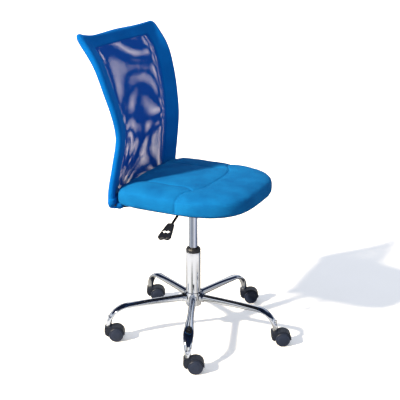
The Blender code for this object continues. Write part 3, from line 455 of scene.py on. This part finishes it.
EDGE_INSET, BOARD_GAP = 0.0075, 0.00015
TURNED_EDGE = (  # width, rise: the fold, the turned-in strip, its step, then flat cloth
    (0.0012, 0.0), (0.0050, 0.0), (0.0008, -0.0001), (0.0300, 0.0), (0.0300, 0.0),
)
bm = bmesh.new()
edge = plan(EDGE_INSET)
rim = bmesh.ops.create_circle(bm, cap_ends=True, segments=len(edge), radius=1.0)["verts"]
for vert, point in zip(rim, edge):
    vert.co = point + Vector((0, 0, BOARD_Z - BOARD_GAP))
for width, depth in TURNED_EDGE:
    bmesh.ops.inset_region(bm, faces=[max(bm.faces, key=lambda f: len(f.verts))], thickness=width, depth=depth)
dust = piece("dust_cover", bm, DUST, "seat", ())

STAPLE_SIZE = Matrix.Diagonal((0.0100, 0.0009, 0.0005, 1))
STAPLE_EVERY, STAPLE_INSET, STAPLE_DROP = 4, 0.022, 0.0004  # outline points, share of the way in, metres
bm = bmesh.new()
for i in range(0, len(edge), STAPLE_EVERY):
    along = (edge[(i + 1) % len(edge)] - edge[i]).normalized()
    middle = edge[i].lerp(COLUMN, STAPLE_INSET) + Vector((0, 0, BOARD_Z - STAPLE_DROP))
    turn = Matrix((along, along.cross(Vector((0, 0, -1))), Vector((0, 0, 1)))).transposed().to_4x4()
    bar = bmesh.ops.create_cube(bm, size=1.0, matrix=Matrix.Translation(middle) @ turn @ STAPLE_SIZE)
    bmesh.ops.bevel(bm, geom=list({e for v in bar["verts"] for e in v.link_edges}), offset=0.0002,
                    affect="EDGES", segments=2, profile=0.5, material=-1)
piece("staples", bm, ZINC, "seat", ())

# ---------------------------------------------------------------- seat cushion
# Moulded foam under a cover sewn from four panels of plain-woven polyester: a middle, two side
# bolsters and a front panel. The foam lifts each panel between its seams. The weave is dense and dull,
# with a slight sheen along its edges.

def woven(name, dark, light, pitch):
    """Plain weave on the piece's own map, in metres: pitch is the thread spacing, about 0.6 mm on the
    real cloth and drawn coarser, as finer threads would blur into one tone."""
    look, tree, shader = look_of(name, dark, 0.92)
    map_ = add_node(tree, "UVMap", uv_map="weave").outputs["UV"]
    across = add_node(tree, "SeparateXYZ", {"Vector": map_})
    waves = []
    for axis in ("X", "Y"):
        turns = add_node(tree, "Math", {0: across.outputs[axis], 1: 2 * pi / pitch}, operation="MULTIPLY")
        waves.append(add_node(tree, "Math", {0: turns.outputs[0]}, operation="SINE").outputs[0])
    over = add_node(tree, "Math", {0: waves[0], 1: waves[1]}, operation="MULTIPLY").outputs[0]
    thread = add_node(tree, "MapRange", {"Value": over, "From Min": -1.0}).outputs["Result"]
    slub = add_node(tree, "TexNoise", {"Vector": map_, "Scale": 330.0, "Detail": 2.0}).outputs["Fac"]
    wear = add_node(tree, "TexNoise", {"Vector": map_, "Scale": 14.0, "Detail": 4.0}).outputs["Fac"]
    mixed = add_node(tree, "Math", {0: thread, 1: slub}, operation="ADD")
    mixed = add_node(tree, "Math", {0: mixed.outputs[0], 1: wear}, operation="ADD")
    shade = add_node(tree, "MapRange", {"Value": mixed.outputs[0], "From Min": 0.6, "From Max": 2.2})
    tree.links.new(ramp_of(tree, shade.outputs[0], ((0.2, dark), (0.8, light))), shader.inputs["Base Color"])
    shader.inputs["Sheen Weight"].default_value = 0.05
    shader.inputs["Sheen Roughness"].default_value = 0.5
    shader.inputs["Sheen Tint"].default_value = linear("#2C8FE0")
    shader.inputs["Specular IOR Level"].default_value = 0.06
    bump = add_node(tree, "Bump", {"Height": mixed.outputs[0], "Strength": 0.8, "Distance": 0.0006})
    tree.links.new(bump.outputs["Normal"], shader.inputs["Normal"])
    return look


SEAT_CLOTH = woven("woven_blue_polyester", "#023E7A", "#1275B4", 0.0032)


def evaluated(thing):
    """The mesh that a thing's modifiers make."""
    graph = bpy.context.evaluated_depsgraph_get()
    return bpy.data.meshes.new_from_object(thing.evaluated_get(graph))


SIDE_TOP, PAD_SQUARENESS, VOXEL = 0.5075, 6.0, 0.005
HELD_BELOW, FOAM_SWELL, FOAM_REACH, FOAM_STEPS = BOARD_Z + 0.006, 0.002, 0.0022, 20
PAD_SECTION = (  # inset, height
    (0.0085, BOARD_Z), (0.0035, BOARD_Z + 0.002), (0.0016, BOARD_Z + 0.008), (0.0010, BOARD_Z + 0.020),
    (0.0012, BOARD_Z + 0.030), (0.0040, SIDE_TOP - 0.002), (0.0110, SIDE_TOP + 0.0040),
    (0.0240, SIDE_TOP + 0.0082), (0.0460, SIDE_TOP + 0.0112), (0.0900, SIDE_TOP + 0.0135),
)
bm = bmesh.new()
sweep(bm, [[p + Vector((0, 0, z)) for p in plan(inset, PAD_SQUARENESS)] for inset, z in PAD_SECTION])
bmesh.ops.recalc_face_normals(bm, faces=bm.faces)
mesh = bpy.data.meshes.new("pad_form")
bm.to_mesh(mesh)
bm.free()
form = bpy.data.objects.new("pad_form", mesh)
scene.collection.objects.link(form)
remesh = form.modifiers.new("voxels", "REMESH")
remesh.mode = "VOXEL"
remesh.voxel_size = VOXEL
form.data = evaluated(form)
form.modifiers.clear()
before = [v.co.copy() for v in form.data.vertices]
moves = [Vector((0, 0, 0)) for _ in before]
held = form.vertex_groups.new(name="held")
held.add([i for i, co in enumerate(before) if co.z < HELD_BELOW], 1.0, "REPLACE")
cloth = form.modifiers.new("cloth", "CLOTH")
cloth.settings.quality = 6
cloth.settings.mass = 0.3
cloth.settings.tension_stiffness = cloth.settings.compression_stiffness = 12.0
cloth.settings.shear_stiffness = 8.0
cloth.settings.bending_stiffness = 2.0
cloth.settings.use_pressure = True
cloth.settings.uniform_pressure_force = 4.0
cloth.settings.vertex_group_mass = "held"
cloth.settings.effector_weights.gravity = 0.0
cloth.collision_settings.use_collision = False
for step in range(1, FOAM_STEPS + 1):
    scene.frame_set(step)
swollen = evaluated(form)
form.modifiers.clear()
scene.frame_set(1)
moves = [new.co - old for old, new in zip(before, swollen.vertices)]
for vert, move in zip(form.data.vertices, moves):
    if vert.co.z > HELD_BELOW:
        vert.co += vert.normal * FOAM_SWELL + move * min(1.0, FOAM_REACH / max(move.length, 1e-9))

bm = bmesh.new()
bm.from_mesh(form.data)
bpy.data.objects.remove(form, do_unlink=True)
for _ in range(5):
    bmesh.ops.smooth_vert(bm, verts=[v for v in bm.verts if v.co.z > BOARD_Z + 0.003], factor=0.5,
                          use_axis_x=True, use_axis_y=True, use_axis_z=True)
bmesh.ops.subdivide_edges(bm, edges=bm.edges, cuts=1, use_grid_fill=True, smooth=0.6)

FRONT_SEAM = [(0.0, -0.084), (0.050, -0.083), (0.080, -0.0805), (0.105, -0.0735), (0.128, -0.060),
              (0.150, -0.047), (0.175, -0.0415), (0.200, -0.0410), (0.225, -0.0425)]
SIDE_SEAM = [(0.128, -0.060), (0.110, -0.034), (0.1065, -0.010), (0.107, 0.030), (0.105, 0.070),
             (0.106, 0.110), (0.112, 0.150), (0.116, 0.190)]
SEAM_DEPTH, STITCH_REACH, FOAM_PULL = 0.0026, 0.0055, 0.017
seams = []
for sign in (1, -1):
    for run in (FRONT_SEAM, SIDE_SEAM):
        points = [COLUMN.to_2d() + Vector((sign * x, y)) for x, y in run]
        seams += list(zip(points, points[1:]))
bm.normal_update()
for vert in bm.verts:
    if vert.co.z < BOARD_Z + 0.004:
        continue
    flat = vert.co.to_2d()
    away = 1.0
    for a, b in seams:
        near, share = intersect_point_line(flat, a, b)
        near = a if share < 0 else b if share > 1 else near
        away = min(away, (flat - near).length)
    stitched = max(0.0, 1 - (away / STITCH_REACH) ** 2) ** 2
    vert.co -= vert.normal * (SEAM_DEPTH * stitched + SEAM_DEPTH * 2.7 ** -((away / FOAM_PULL) ** 2))
weave = bm.loops.layers.uv.new("weave")
bm.normal_update()
for face in bm.faces:
    n = face.normal
    ways = (0, 1) if abs(n.z) > 0.6 else (1, 2) if abs(n.x) > abs(n.y) else (0, 2)
    for loop in face.loops:
        loop[weave].uv = (loop.vert.co[ways[0]], loop.vert.co[ways[1]])
pad = piece("seat_pad", bm, SEAT_CLOTH, "seat", ("seat_cushion",), 180)

RECESS_INSET, RECESS_DEPTH = 0.0097, 0.0103
bm = bmesh.new()
sweep(bm, [[p + Vector((0, 0, z)) for p in plan(RECESS_INSET)]
           for z in (BOARD_Z - 0.01, BOARD_Z + RECESS_DEPTH)])
bmesh.ops.recalc_face_normals(bm, faces=bm.faces)
mesh = bpy.data.meshes.new("recess")
bm.to_mesh(mesh)
bm.free()
cutter = bpy.data.objects.new("recess", mesh)
scene.collection.objects.link(cutter)
cut = pad.modifiers.new("recess", "BOOLEAN")
cut.object = cutter
cut.operation = "DIFFERENCE"
cut.solver = "EXACT"
pad.data = evaluated(pad)
pad.modifiers.clear()
bpy.data.objects.remove(cutter, do_unlink=True)

# ---------------------------------------------------------------- height lever
# A moulded paddle pressed on a bent steel rod: a trapezoid with a rolled rim round a sunk panel, a
# notch in its wide end, and an up-and-down arrow.


def thicken(bm, height):
    """Gives flat faces a height along z."""
    grown = bmesh.ops.extrude_face_region(bm, geom=list(bm.faces))["geom"]
    raised = [item for item in grown if isinstance(item, bmesh.types.BMVert)]
    bmesh.ops.translate(bm, verts=raised, vec=(0, 0, height))


PADDLE = moulded("black_moulding", "#0E1119", "#141823", 0.36)
MARK, tree, shader = look_of("white_print", "#E9ECF2", 0.5)
place = add_node(tree, "TexCoord").outputs["Object"]
speck = add_node(tree, "TexNoise", {"Vector": place, "Scale": 900.0}).outputs["Fac"]
tree.links.new(ramp_of(tree, speck, ((0.3, "#DDE1EA"), (0.7, "#F4F6FA"))), shader.inputs["Base Color"])
MOUTH = COLUMN + Vector((-0.141, 0.0, 0.4118))
GRIP_HALF, GRIP_ASIDE, GRIP_DROOP, GRIP_ROLL = 0.0045, 0.003, radians(31.5), radians(10)
RIM_ROUND, RIM_WIDTH, PANEL_SLOPE, PANEL_DEPTH = 0.0020, 0.0022, 0.0008, 0.0011
grip_place = (Matrix.Translation(MOUTH) @ Matrix.Rotation(pi - GRIP_DROOP, 4, "Y")
              @ Matrix.Rotation(GRIP_ROLL, 4, "X"))
half_outline = [  # out from the rod, half-width
    (0.0, 0.0082), (0.0012, 0.0104), (0.004, 0.0118), (0.020, 0.0160), (0.036, 0.0194),
    (0.048, 0.0216), (0.0535, 0.0216), (0.0575, 0.0194), (0.0602, 0.0154), (0.0612, 0.0110),
    (0.0602, 0.0066), (0.0588, 0.0032), (0.0582, 0.0),
]
outline = half_outline + [(x, -y) for x, y in reversed(half_outline[:-1])]
bm = bmesh.new()
base = bmesh.ops.create_circle(bm, segments=len(outline), radius=1.0, cap_ends=True)["verts"]
for vert, (x, y) in zip(base, outline):
    vert.co = (x, y + GRIP_ASIDE, -GRIP_HALF)
thicken(bm, 2 * GRIP_HALF)
rims = [edge for edge in bm.edges if sum(len(f.verts) > 4 for f in edge.link_faces) == 1]
bmesh.ops.bevel(bm, geom=rims, offset=RIM_ROUND, offset_type="OFFSET", affect="EDGES", segments=4,
                profile=0.5, material=-1)
bmesh.ops.recalc_face_normals(bm, faces=bm.faces)
for face in [f for f in bm.faces if len(f.verts) > 4]:
    bmesh.ops.inset_region(bm, faces=[face], thickness=RIM_WIDTH, depth=0.0)
    bmesh.ops.inset_region(bm, faces=[face], thickness=PANEL_SLOPE, depth=-PANEL_DEPTH)
bmesh.ops.transform(bm, matrix=grip_place, verts=bm.verts)
piece("lever_paddle", bm, PADDLE, "lever", ("lever_grip",), 50)

ARROW_OUT, ARROW_TIP, ARROW_STEM, ARROW_THICK, ARROW_SUNK = 0.034, 0.0075, 0.0030, 0.0004, 0.0008
bm = bmesh.new()
for sign in (1, -1):
    tip = bmesh.ops.create_circle(bm, cap_ends=True, segments=3, radius=0.0060)["verts"]
    bmesh.ops.rotate(bm, verts=tip, cent=(0, 0, 0), matrix=Matrix.Rotation(sign * pi / 2 - pi / 2, 3, "Z"))
    bmesh.ops.translate(bm, verts=tip, vec=(ARROW_OUT, sign * ARROW_TIP + GRIP_ASIDE, 0.0))
    stem = Matrix.Translation((ARROW_OUT, sign * ARROW_STEM + GRIP_ASIDE, 0.0))
    bmesh.ops.create_grid(bm, x_segments=1, y_segments=1, size=0.0017,
                          matrix=stem @ Matrix.Diagonal((1, 1.8, 1, 1)))
thicken(bm, ARROW_THICK)
bmesh.ops.translate(bm, verts=bm.verts, vec=(0, 0, ARROW_SUNK - GRIP_HALF))
bmesh.ops.transform(bm, matrix=grip_place, verts=bm.verts)
bmesh.ops.recalc_face_normals(bm, faces=bm.faces)
piece("paddle_arrows", bm, MARK, "lever")

# ---------------------------------------------------------------- back border
# The cover's border, a sleeve of spacer knit over thin foam that is pulled down over the frame like a
# sock. It slopes from the tube back to the netting, which is sewn into its inner edge. One upper
# corner stands up as a small ear, where the cover was not pulled quite straight.

BACK_STATIONS = (  # height, set-back behind the column axis, half-width between tube centres
    (0.450, 0.1740, 0.1945), (0.500, 0.1745, 0.1945), (0.580, 0.1625, 0.1870), (0.660, 0.1525, 0.1792),
    (0.720, 0.1585, 0.1845), (0.800, 0.1780, 0.1985), (0.880, 0.2065, 0.2060), (0.955, 0.2600, 0.2050),
)
SAG, BACK_TOP, TOP_CORNER, TOP_DIP = 0.012, 0.9455, 0.016, 0.007
BAND_SIDE, BAND_OVER, BAND_BOTTOM = 0.052, 0.026, 0.478


def on_back(x, z, out=0.0):
    """A point of the back's middle surface, out metres in front of it."""
    def surface(px, pz):
        setback, half = between(BACK_STATIONS, pz)
        return Vector((px, setback + SAG * (1 - (px / half) ** 2), pz))

    step = 0.002
    across = surface(x + step, z) - surface(x - step, z)
    upward = surface(x, z + step) - surface(x, z - step)
    return COLUMN + surface(x, z) + across.cross(upward).normalized() * out


def side_run(inset, top, corner, dip):
    """Half of the border's line, (x, z) from the lower end to the middle of the top."""
    low, run = BAND_BOTTOM, []
    high = top - corner - 0.004
    for i in range(60):
        z = low + (high - low) * i / 59
        run.append(Vector((between(BACK_STATIONS, z)[1] - inset, z)))
    start = run[-1]
    peak = Vector((between(BACK_STATIONS, top)[1] - inset, top))
    begin, end = peak + (start - peak).normalized() * corner, peak - Vector((corner, 0.0))
    for i in range(13):
        t = i / 12
        run.append(begin.lerp(peak, t).lerp(peak.lerp(end, t), t))
    for i in range(1, 21):
        share = 1 - i / 20
        run.append(Vector((end.x * share, top - dip * (1 - share**2))))
    return run


def cloth_map(bm, lean):
    """Maps a sleeve by x and z, leaned by y so that the threads of its side faces do not stretch."""
    weave = bm.loops.layers.uv.new("weave")
    for face in bm.faces:
        for loop in face.loops:
            co = loop.vert.co
            loop[weave].uv = (co.x + lean * co.y, co.z + 0.3 * co.y)


outer = side_run(0.0, BACK_TOP, TOP_CORNER, TOP_DIP)
inner = side_run(BAND_SIDE, BACK_TOP - BAND_OVER, 0.004, 0.0)
for edge in (outer, inner):
    edge += [Vector((-p.x, p.y)) for p in reversed(edge[:-1])]
BAND_SECTION = (  # share of the border's width, share of its half-thickness
    (-1.0, 0.0), (-0.93, 0.38), (-0.72, 0.70), (-0.40, 0.92), (0.0, 1.0), (0.12, 1.02), (0.30, 0.96),
    (0.50, 0.95), (0.70, 1.0), (0.84, 1.08), (0.92, 1.02), (0.97, 0.82), (1.0, 0.45),
    (1.0, -0.45), (0.97, -0.82), (0.92, -1.02), (0.84, -1.08), (0.70, -1.0), (0.50, -0.95), (0.30, -0.96),
    (0.12, -1.02), (0.0, -1.0), (-0.40, -0.92), (-0.72, -0.70), (-0.93, -0.38),
)
BAND_CLOTH = woven("blue_spacer_knit", "#0054A0", "#046CBE", 0.0030)
TUBE_HALF, SEWN_HALF, SET_BACK = 0.0104, 0.0050, 0.006  # half-thickness at the tube and at the net
SLEEVE_OUT, TOP_FULLNESS, EAR = 0.0102, 0.0018, 0.0125
rings, run = [], 0.0
for i, (o, n) in enumerate(zip(outer, inner)):
    inward = n - o
    if i:
        run += (o - outer[i - 1]).length
    pull = 0.0005 * sin(run * 95) + 0.0004 * sin(run * 41 + 1.3)
    ring = []
    for share, thick in BAND_SECTION:
        outside = SLEEVE_OUT + TOP_FULLNESS * min(1.0, max(0.0, (o.y - 0.925) / 0.012))
        reach = inward * share if share > 0 else inward.normalized() * share * outside
        inside = max(share, 0.0)
        puckered = pull * sin(pi * min(1.0, inside)) * (1 if thick > 0 else -1)
        half = TUBE_HALF + (SEWN_HALF - TUBE_HALF) * inside + puckered
        ear = EAR * max(0.0, (-o.x - 0.11) / 0.09) ** 2 * max(0.0, (o.y - 0.90) / 0.045)
        ear *= max(-share, 0.0)
        ring.append(on_back(o.x + reach.x, o.y + reach.y + ear, thick * half - SET_BACK * inside))
    rings.append(ring)
bm = bmesh.new()
sweep(bm, rings)
cloth_map(bm, 0.4)
band = piece("back_border", bm, BAND_CLOTH, "seat", ("back_band",), 60)

# ---------------------------------------------------------------- back netting
# Two layers of polyester net stretched between the border's edges, one in front and one behind. The
# holes of one layer drift against those of the other, which gives pale clouds, and both are pulled into
# creases towards the lower corners.


def netted(name, dark, light):
    """Net whose holes are cut by alpha on the piece's own map, in metres; the real pitch is about
    1.6 mm and is drawn coarser so that it shows."""
    look, tree, shader = look_of(name, dark, 0.9)
    shader.inputs["Specular IOR Level"].default_value = 0.05
    map_ = add_node(tree, "UVMap", uv_map="weave").outputs["UV"]
    lattice = add_node(tree, "Mapping", {"Vector": map_, "Rotation": (0.0, 0.0, pi / 4)}).outputs[0]
    cell = add_node(tree, "TexVoronoi", {"Vector": lattice, "Scale": 1 / NET_PITCH, "Randomness": 0.0},
                    voronoi_dimensions="2D").outputs["Distance"]
    cloud = add_node(tree, "TexNoise", {"Vector": map_, "Scale": 16.0, "Detail": 2.0}).outputs["Fac"]
    size = add_node(tree, "MapRange", {"Value": cloud, "From Min": 0.3, "From Max": 0.7,
                                       "To Min": HOLE - 0.03, "To Max": HOLE + 0.03}).outputs["Result"]
    solid = add_node(tree, "Math", {0: cell, 1: size}, operation="GREATER_THAN").outputs[0]
    tree.links.new(solid, shader.inputs["Alpha"])
    tree.links.new(ramp_of(tree, cell, ((0.3, light), (0.7, dark))), shader.inputs["Base Color"])
    bump = add_node(tree, "Bump", {"Height": cell, "Strength": 0.4, "Distance": 0.0004})
    tree.links.new(bump.outputs["Normal"], shader.inputs["Normal"])
    return look


NET_PITCH, HOLE = 0.0030, 0.243  # metres, share of the pitch from a hole's middle to its edge
SEWN_IN = 0.002
NET_TOP = BACK_TOP - BAND_OVER + SEWN_IN
CREASE, CREASE_WIDE, CREASE_HIGH = 0.0006, 0.10, 0.5  # metres, metres, share of the height


def drawn_askew(x, z, u, v, half):
    """Where the rear net's threads lie after stretching: pulled to the sides and lower corners, with a
    slow wander, so that its holes drift against the front net's."""
    across = x + 0.0100 * u**9 + 0.0010 * sin(6.0 * v + 1.5 * u + 0.6)
    wander = 0.0016 * sin(2.6 * u + 5.5 * v + 0.8)
    upward = (z + 0.014 * v + 0.0085 * (1 - u * u) * 2.7 ** (-v / 0.12) + wander
              + 0.0008 * sin(3.1 * u - 13.0 * v))
    for end, swing in ((-1, 0.006), (1, -0.006)):
        beside, over = (1 - end * u) * half, v * (NET_TOP - BAND_BOTTOM)
        across += swing * atan2(over, beside + 0.002) * 2.7 ** (-hypot(beside, over) / 0.075)
    return across, upward


for side, out in (("front", -0.0028), ("rear", -0.0092)):
    bm = bmesh.new()
    weave = bm.loops.layers.uv.new("weave")
    bmesh.ops.create_grid(bm, x_segments=72, y_segments=104, size=1.0)
    flat = {}
    for vert in bm.verts:
        u, v = vert.co.x, (vert.co.y + 1) / 2
        z = BAND_BOTTOM + (NET_TOP - BAND_BOTTOM) * v
        half = between(BACK_STATIONS, z)[1] - BAND_SIDE + SEWN_IN
        x = half * u
        flat[vert.index] = drawn_askew(x, z, u, v, half) if side == "rear" else (x, z)
        near = hypot((1 + u) * half / CREASE_WIDE, v / CREASE_HIGH)
        fan = sin(14 * (1 + u) * half / max(v * 0.42 + 0.02, 0.02))
        crease = CREASE * fan * 2.7 ** -(near * near) * min(1.0, near * 5)
        fade = min(1.0, (1 - abs(u)) * 8) * min(1.0, v * 12) * min(1.0, (1 - v) * 12)
        vert.co = on_back(x, z, out + crease * fade)
    for face in bm.faces:
        for loop in face.loops:
            loop[weave].uv = flat[loop.vert.index]
    look = netted(f"blue_net_{side}", "#0A4098", "#1A58B4")
    net = piece(f"net_{side}", bm, look, "seat", (f"back_mesh_{side}",), 180)

# ---------------------------------------------------------------- hems
# Below the border the sleeve is gathered round the frame's bend with an elastic, and ends under the
# seat's rear corners.

corner = Vector((0.1945, 0.1740, 0.4590))
leg = (Vector((0.098, 0.068, 0.4577)) - corner).normalized()
HEM_SIDES = 36
HEM_STATIONS = (  # along the leg, height, reach outwards, reach inwards, half-thickness, turn to the leg
    (0.0, 0.0240, 0.0104, 0.0515, 0.0100, 0.0), (0.0, 0.0160, 0.0130, 0.0512, 0.0112, 0.0),
    (0.0, 0.0090, 0.0136, 0.0500, 0.0116, 0.0), (0.0, 0.0040, 0.0110, 0.0480, 0.0110, 0.1),
    (0.0, 0.0, 0.0076, 0.0440, 0.0100, 0.3), (0.006, -0.0006, 0.0070, 0.0330, 0.0092, 0.6),
    (0.014, -0.0002, 0.0084, 0.0200, 0.0088, 0.9), (0.034, 0.0, 0.0088, 0.0096, 0.0084, 1.0),
)
for sign, name in ((-1, "hem_right"), (1, "hem_left")):
    rings = []
    for along, height, outward, inward, thick, bent in HEM_STATIONS:
        middle = corner + leg * along + Vector((0, 0, height))
        down = Vector((0, 0, -1)).lerp(leg, bent).normalized()
        side = Vector((1.0, 0.0, 0.0)).lerp(Vector((-leg.y, leg.x, 0.0)).normalized(), bent)
        side = (side - down * side.dot(down)).normalized()
        front = side.cross(down).normalized()
        ring = []
        for k in range(HEM_SIDES):
            t = 2 * pi * k / HEM_SIDES
            gather = 1 + 0.05 * bent * cos(9 * t) + 0.02 * cos(5 * t)
            reach = outward if cos(t) > 0 else inward
            point = middle + side * cos(t) * reach * gather + front * sin(t) * thick * gather
            ring.append(COLUMN + Vector((sign * point.x, point.y, point.z)))
        rings.append(ring)
    bm = bmesh.new()
    sweep(bm, rings)
    bmesh.ops.subdivide_edges(bm, edges=[e for e in bm.edges if not e.is_boundary], cuts=1,
                              use_grid_fill=True, smooth=0.8)
    cloth_map(bm, 0.5)
    hem = piece(name, bm, BAND_CLOTH, "seat", (), 180)
